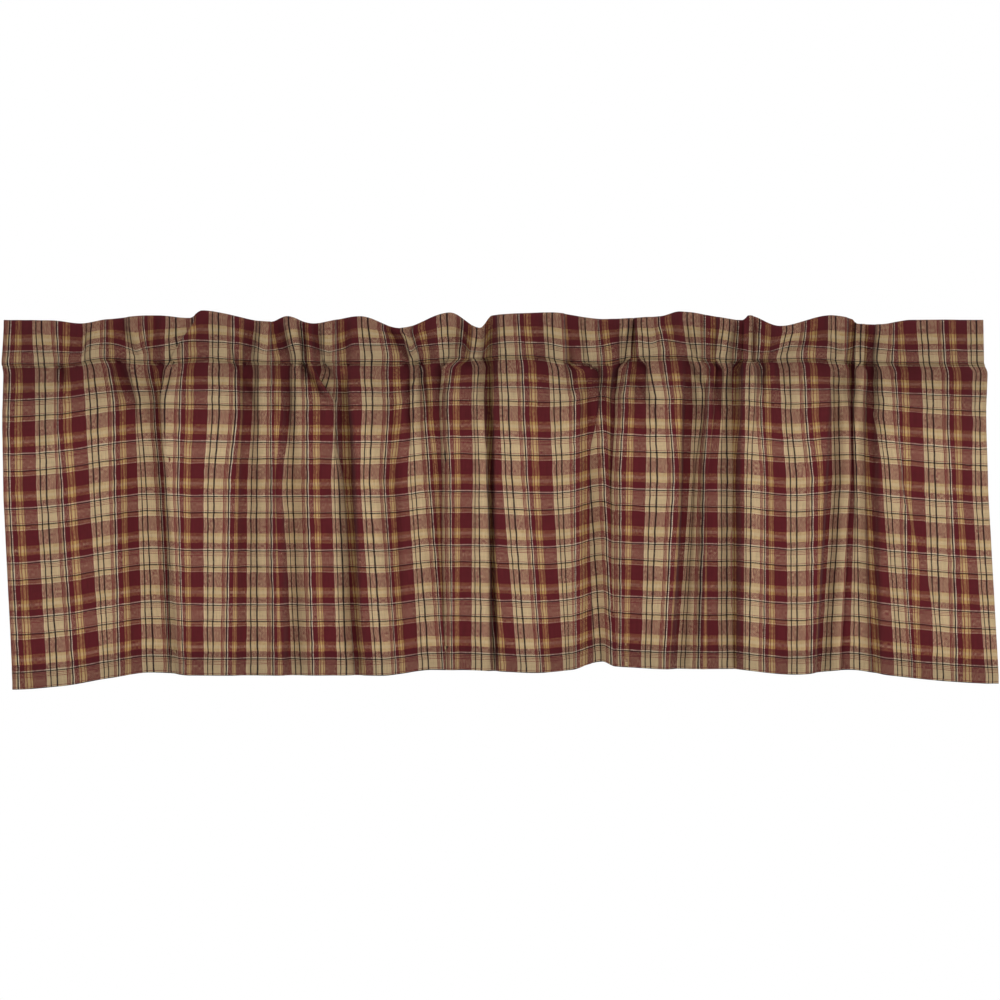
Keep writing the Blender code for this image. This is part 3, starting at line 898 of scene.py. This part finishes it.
# %% [markdown]
# ## The woven surface
#
# The yarns are taken to be 1.25 mm apart, about 20 to the inch. Over and under, they make a fine
# check of light and dark, and because carded yarn is uneven, thin and thick stretches show as
# short streaks along the yarns. Cotton has no gloss: it is rough, with a faint fuzz that catches
# light at grazing angles, which is what the sheen gives.

# %% The plaid cotton
YARN_PITCH = 0.00125
WANDER = 0.0016  # twice the most that a stripe strays
WANDER_SCALE = 60.0  # how many times a metre it strays, roughly
EXTRA_REPEATS = 3  # above the first white line, so that the chart covers the pocket's back
material = bpy.data.materials.new("plaid_homespun_cotton")
material.use_nodes = True
tree = material.node_tree
shader = tree.nodes["Principled BSDF"]


def math(operation, *values):
    """A Math node's result."""
    return add(tree, "ShaderNodeMath", dict(enumerate(values)), operation=operation).outputs[0]


place = add(tree, "ShaderNodeUVMap", uv_map="flat_cloth").outputs[0]
wander = add(tree, "ShaderNodeTexNoise", {"Vector": place, "Scale": WANDER_SCALE, "Detail": 1.0})
wander_by = add(tree, "ShaderNodeVectorMath", {0: wander.outputs["Color"], 1: (0.5, 0.5, 0.5)},
                operation="SUBTRACT").outputs[0]
wandered = add(tree, "ShaderNodeVectorMath", {0: wander_by, 1: (WANDER, WANDER, 0.0), 2: place},
               operation="MULTIPLY_ADD").outputs[0]
split = add(tree, "ShaderNodeSeparateXYZ", {0: wandered})
across, down = split.outputs["X"], split.outputs["Y"]

hanging_from = FIRST_PAIR + HANGING_START - REPEAT
crossing_from = FIRST_WHITE_LINE - EXTRA_REPEATS * REPEAT_DOWN
hanging_place = math("FRACT", math("DIVIDE", math("SUBTRACT", across, hanging_from), REPEAT))
crossing_place = math("FRACT", math("DIVIDE", math("SUBTRACT", down, crossing_from), REPEAT_DOWN))
hanging_yarn, hanging_proud = chart_colours(tree, HANGING_CHART, hanging_place)
crossing_yarn, crossing_proud = chart_colours(tree, CROSSING_CHART, crossing_place)
print(f"charts start {1000 * hanging_from:.1f} mm across and {1000 * crossing_from:.1f} mm down")

# %% Streaks along the yarns
ALONG_YARN, ACROSS_YARN = 45.0, 620.0  # streaks per metre
DULL, CLEAR = 0.76, 1.18  # tones between which a yarn varies
NOISE_LOW, NOISE_HIGH = 0.28, 0.72  # values of the noise that give these tones


def streaks(scale):
    """A grey that runs in short streaks, from DULL to CLEAR, to multiply a yarn's colour by."""
    stretched = add(tree, "ShaderNodeMapping", {"Vector": place, "Scale": scale})
    noise = add(tree, "ShaderNodeTexNoise", {"Vector": stretched.outputs[0], "Scale": 1.0,
                                             "Detail": 2.0, "Roughness": 0.6})
    return add(tree, "ShaderNodeMapRange", {"Value": noise.outputs[0], "From Min": NOISE_LOW,
                                            "From Max": NOISE_HIGH, "To Min": DULL,
                                            "To Max": CLEAR}).outputs[0]


def toned(colour, tone):
    """The colour times a grey."""
    return add(tree, "ShaderNodeVectorMath", {0: colour, "Scale": tone}, operation="SCALE").outputs[0]


hanging_yarn = toned(hanging_yarn, streaks((ACROSS_YARN, ALONG_YARN, 1.0)))
crossing_yarn = toned(crossing_yarn, streaks((ALONG_YARN, ACROSS_YARN, 1.0)))
print(f"streaks about {1000 / ALONG_YARN:.0f} mm long and {1000 / ACROSS_YARN:.1f} mm wide")

# %% Over and under
CROSSING_SHARE = 0.40  # of the mixture, on average
MOTTLE = 1.3  # how strongly slubs change it
WEAVE = 0.32  # how far over and under change it
PROUD_SHARE = 0.5  # how far it goes to the yarn that stands prouder
SLUBS = (820.0, 330.0, 1.0)  # slubs per metre, across and down
wave_across = math("SINE", math("MULTIPLY", across, np.pi / YARN_PITCH))
wave_down = math("SINE", math("MULTIPLY", down, np.pi / YARN_PITCH))
over = math("MULTIPLY", wave_across, wave_down)
slubs = add(tree, "ShaderNodeMapping", {"Vector": place, "Scale": SLUBS}).outputs[0]
mottle = add(tree, "ShaderNodeTexNoise", {"Vector": slubs, "Scale": 1.0, "Detail": 1.0}).outputs[0]
uneven = math("MULTIPLY_ADD", math("SUBTRACT", mottle, 0.5), MOTTLE, CROSSING_SHARE)
proud = math("MULTIPLY", math("SUBTRACT", crossing_proud, hanging_proud), PROUD_SHARE)
crossing_share = math("ADD", math("MULTIPLY_ADD", over, WEAVE, uneven), proud)
GAMMA = 2.2  # the mixture is made in the tones that the eye sees
by_eye = [add(tree, "ShaderNodeGamma", {0: yarn, 1: 1 / GAMMA}).outputs[0]
          for yarn in (hanging_yarn, crossing_yarn)]
mixed = add(tree, "ShaderNodeMix", {"Factor": crossing_share}, data_type="RGBA", clamp_factor=True)
tree.links.new(by_eye[0], mixed.inputs[6])
tree.links.new(by_eye[1], mixed.inputs[7])
plaid = add(tree, "ShaderNodeGamma", {0: mixed.outputs[2], 1: GAMMA}).outputs[0]
print(f"yarns {1000 * YARN_PITCH} mm apart, the crossing ones {CROSSING_SHARE:.0%} of the mixture")

# %% Painted shade on the pocket and hem
# The pocket, a band below its seam and the hem are painted darker than the rest: painted shade,
# for the light from behind that shines less through their extra layers, and for the shade under
# the pocket's bulge. These shares of their colour are chosen for that look, and aren't worked out
# from how cloth passes light.
POCKET_PAINTED_SHADE, HEM_PAINTED_SHADE = 0.73, 0.79
BAND_FROM, BAND_TO = POCKET + 0.018, 0.150  # the pocket's painted shade fades out between these
# painted shade on the hem, below its stitching
in_hem = math("GREATER_THAN", down, HEM_STITCH)
plaid = toned(plaid, math("MULTIPLY_ADD", in_hem, HEM_PAINTED_SHADE - 1, 1.0))
# painted shade on the pocket, fading out over a band below its seam
pocket_painted_shade = add(tree, "ShaderNodeMapRange", {"Value": down, "From Min": BAND_FROM, "From Max": BAND_TO,
                                               "To Min": POCKET_PAINTED_SHADE, "To Max": 1.0})
plaid = toned(plaid, pocket_painted_shade.outputs[0])
print(f"tones: pocket {POCKET_PAINTED_SHADE}, hem {HEM_PAINTED_SHADE}")

# %% Relief and finish
BUMP_STRENGTH, BUMP_HEIGHT = 0.35, 0.00035
WEAVE_SHARE, FUZZ_SHARE, FUZZ_SCALE = 0.5, 0.8, 900.0
fuzz = add(tree, "ShaderNodeTexNoise", {"Vector": place, "Scale": FUZZ_SCALE, "Detail": 2.0})
height = math("MULTIPLY_ADD", over, WEAVE_SHARE, math("MULTIPLY", fuzz.outputs[0], FUZZ_SHARE))
bump = add(tree, "ShaderNodeBump", {"Strength": BUMP_STRENGTH, "Distance": BUMP_HEIGHT,
                                    "Height": height})
tree.links.new(plaid, shader.inputs["Base Color"])
tree.links.new(bump.outputs[0], shader.inputs["Normal"])
shader.inputs["Roughness"].default_value = 0.92
shader.inputs["Specular IOR Level"].default_value = 0.25
shader.inputs["Sheen Weight"].default_value = 0.03
shader.inputs["Sheen Roughness"].default_value = 0.5
mesh.materials.append(material)
print("plaid:", len(tree.nodes), "nodes")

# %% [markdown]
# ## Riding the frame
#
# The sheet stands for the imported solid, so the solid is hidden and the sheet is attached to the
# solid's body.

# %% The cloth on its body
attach(valance, "root")
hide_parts("valance_cloth")

# %% [markdown]
# ## Camera, floor and light
#
# The valance is seen square on from far away, as a long lens sees it, on plain white. A pale floor
# lies below it. A white room lights it evenly from all sides, and one soft lamp stands above and
# in front, a little to the right. Light from the front leaves the panels bright, and the walls and
# floors of the recesses dark, because they see less of the room.

# %% Camera
VIEW_CENTRE = Vector((0.0088, 0.0, -0.1976))
VIEW_WIDTH = 1.098
LENS, SENSOR = 200.0, 36.0
DISTANCE = VIEW_WIDTH * LENS / SENSOR
camera_data = bpy.data.cameras.new("square_on")
camera_data.lens, camera_data.sensor_width = LENS, SENSOR
camera = bpy.data.objects.new("square_on", camera_data)
camera.location = VIEW_CENTRE - Vector((0, DISTANCE, 0))
camera.rotation_euler = (np.pi / 2, 0, 0)
bpy.context.scene.collection.objects.link(camera)
bpy.context.scene.camera = camera
print(f"camera {DISTANCE:.2f} m in front")

# %% Floor
FLOOR_Z, FLOOR_RADIUS, FLOOR_SIDES = -0.98, 1.3, 96
angles = np.linspace(0, 2 * np.pi, FLOOR_SIDES, endpoint=False)
rim_points = np.stack((FLOOR_RADIUS * np.cos(angles), FLOOR_RADIUS * np.sin(angles),
                       np.full_like(angles, FLOOR_Z)), axis=1)
floor_mesh = bpy.data.meshes.new("pale_floor")
floor_mesh.from_pydata(rim_points.tolist(), [], [list(range(FLOOR_SIDES))])
floor = bpy.data.objects.new("pale_floor", floor_mesh)
bpy.context.scene.collection.objects.link(floor)
paint = bpy.data.materials.new("matt_white_paint")
paint.use_nodes = True
paint.node_tree.nodes["Principled BSDF"].inputs["Base Color"].default_value = linear("#F1F0EE")
paint.node_tree.nodes["Principled BSDF"].inputs["Roughness"].default_value = 0.9
floor_mesh.materials.append(paint)
print(f"floor {2 * FLOOR_RADIUS:.1f} m across")

# %% Light
world = bpy.data.worlds.new("white_studio")
world.use_nodes = True
sky = world.node_tree
ray = add(sky, "ShaderNodeLightPath")
WORLD_LIGHT = 0.70
seen = add(sky, "ShaderNodeMapRange", {"Value": ray.outputs["Is Camera Ray"], "To Min": WORLD_LIGHT,
                                       "To Max": 1.0})
background = sky.nodes["Background"]
background.inputs["Color"].default_value = (1.0, 1.0, 1.0, 1.0)
sky.links.new(seen.outputs[0], background.inputs["Strength"])
bpy.context.scene.world = world
bpy.context.scene.view_settings.view_transform = "Standard"


def soft_light(name, place, size, power):
    """Adds a square lamp at a place, turned to the middle of the view."""
    data = bpy.data.lights.new(name, "AREA")
    data.size, data.energy = size, power
    lamp = bpy.data.objects.new(name, data)
    lamp.location = place
    lamp.rotation_euler = (VIEW_CENTRE - Vector(place)).to_track_quat("-Z", "Y").to_euler()
    bpy.context.scene.collection.objects.link(lamp)


soft_light("key", place=(1.0, -3.4, 2.2), size=1.0, power=44)
print("world light", WORLD_LIGHT)
